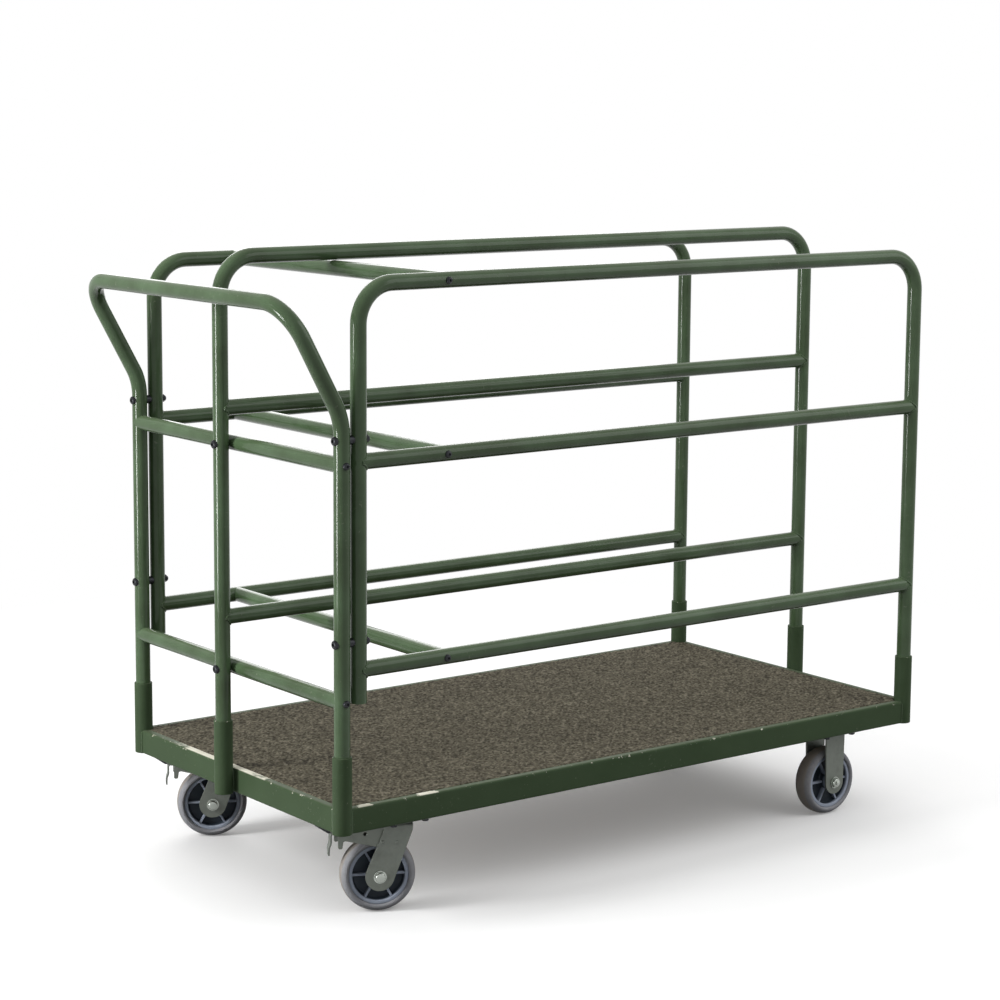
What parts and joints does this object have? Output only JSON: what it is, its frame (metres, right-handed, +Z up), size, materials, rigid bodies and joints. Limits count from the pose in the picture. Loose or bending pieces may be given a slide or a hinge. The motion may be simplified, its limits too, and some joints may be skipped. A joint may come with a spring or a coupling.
{
  "type": "sheet goods cart",
  "caption": "Steel platform cart with a carpeted deck, tubular side frames, a centre divider, a cross divider and a push handle, on rigid casters and braked swivel casters.",
  "frame": {"origin": "on the floor, under the middle of the whole cart, handle included", "axes": "+X from the handle end to the open end, +Y from the front side to the back side, +Z up"},
  "size_m": [1.7131, 0.8002, 1.2979],
  "materials": {
    "green_enamel": "satin",
    "carpet": "loop pile",
    "plywood": "bare",
    "zinc_steel": "zinc plated",
    "tyre_rubber": "matte",
    "wheel_plastic": "moulded",
    "black_steel": "black oxide"
  },
  "bodies": {
    "cart": {"axle_bolt_back_rigid": "zinc_steel", "axle_bolt_front_rigid": "zinc_steel", "back_hoop": "green_enamel", "back_rail_low": "green_enamel", "back_rail_mid": "green_enamel", "caster_channel_handle_end": "green_enamel", "caster_channel_open_end": "green_enamel", "caster_plate_back_swivel": "zinc_steel", "caster_plate_front_swivel": "zinc_steel", "corner_bolt_back_lower": "black_steel", "corner_bolt_back_upper": "black_steel", "corner_bolt_front_lower": "black_steel", "corner_bolt_front_upper": "black_steel", "cross_rail_low": "green_enamel", "cross_rail_mid": "green_enamel", "cross_rail_top": "green_enamel", "deck_board": "plywood", "deck_carpet": "carpet", "deck_joist_handle": "green_enamel", "deck_joist_middle": "green_enamel", "deck_joist_open": "green_enamel", "deck_rail_back": "green_enamel", "deck_rail_front": "green_enamel", "deck_rail_handle_end": "green_enamel", "deck_rail_open_end": "green_enamel", "divider_bolt_low": "black_steel", "divider_bolt_mid": "black_steel", "divider_hoop": "green_enamel", "divider_rail_low": "green_enamel", "divider_rail_mid": "green_enamel", "end_rail_low": "green_enamel", "end_rail_mid": "green_enamel", "fork_back_rigid": "zinc_steel", "fork_front_rigid": "zinc_steel", "front_hoop": "green_enamel", "front_rail_low": "green_enamel", "front_rail_mid": "green_enamel", "handle_tube": "green_enamel", "post_socket_back_handle": "green_enamel", "post_socket_back_open": "green_enamel", "post_socket_front_handle": "green_enamel", "post_socket_front_open": "green_enamel", "post_socket_middle_handle": "green_enamel", "post_socket_middle_open": "green_enamel", "swivel_race_back_swivel": "zinc_steel", "swivel_race_front_swivel": "zinc_steel"},
    "front_swivel_fork": {"axle_bolt_front_swivel": "zinc_steel", "fork_front_swivel": "zinc_steel"},
    "back_swivel_fork": {"axle_bolt_back_swivel": "zinc_steel", "fork_back_swivel": "zinc_steel"},
    "front_swivel_wheel": {"tyre_front_swivel": "tyre_rubber", "wheel_core_front_swivel": "wheel_plastic"},
    "back_swivel_wheel": {"tyre_back_swivel": "tyre_rubber", "wheel_core_back_swivel": "wheel_plastic"},
    "front_rigid_wheel": {"tyre_front_rigid": "tyre_rubber", "wheel_core_front_rigid": "wheel_plastic"},
    "back_rigid_wheel": {"tyre_back_rigid": "tyre_rubber", "wheel_core_back_rigid": "wheel_plastic"},
    "front_brake_pedal": {"brake_pedal_front": "zinc_steel"},
    "back_brake_pedal": {"brake_pedal_back": "zinc_steel"}
  },
  "joints": [
    {"name": "front_caster_swivel", "type": "hinge", "parent": "cart", "child": "front_swivel_fork", "pos_m": [-0.54476, -0.315, 0.18395], "axis": [0, 0, 1], "continuous": true},
    {"name": "front_swivel_wheel_spin", "type": "hinge", "parent": "front_swivel_fork", "child": "front_swivel_wheel", "pos_m": [-0.58011, -0.29852, 0.07572], "axis": [-0.4226, -0.9063, 0], "continuous": true},
    {"name": "front_brake_pedal_press", "type": "hinge", "parent": "front_swivel_fork", "child": "front_brake_pedal", "pos_m": [-0.63358, -0.27358, 0.16], "axis": [-0.4226, -0.9063, 0], "range_deg": [0, 12]},
    {"name": "back_caster_swivel", "type": "hinge", "parent": "cart", "child": "back_swivel_fork", "pos_m": [-0.54476, 0.315, 0.18395], "axis": [0, 0, 1], "continuous": true},
    {"name": "back_swivel_wheel_spin", "type": "hinge", "parent": "back_swivel_fork", "child": "back_swivel_wheel", "pos_m": [-0.5792, 0.33331, 0.07572], "axis": [-0.4695, -0.8829, 0], "continuous": true},
    {"name": "back_brake_pedal_press", "type": "hinge", "parent": "back_swivel_fork", "child": "back_brake_pedal", "pos_m": [-0.63129, 0.36101, 0.16], "axis": [-0.4695, -0.8829, 0], "range_deg": [0, 12]},
    {"name": "front_rigid_wheel_spin", "type": "hinge", "parent": "cart", "child": "front_rigid_wheel", "pos_m": [0.63124, -0.315, 0.07572], "axis": [0, 1, 0], "continuous": true},
    {"name": "back_rigid_wheel_spin", "type": "hinge", "parent": "cart", "child": "back_rigid_wheel", "pos_m": [0.63124, 0.315, 0.07572], "axis": [0, 1, 0], "continuous": true}
  ]
}
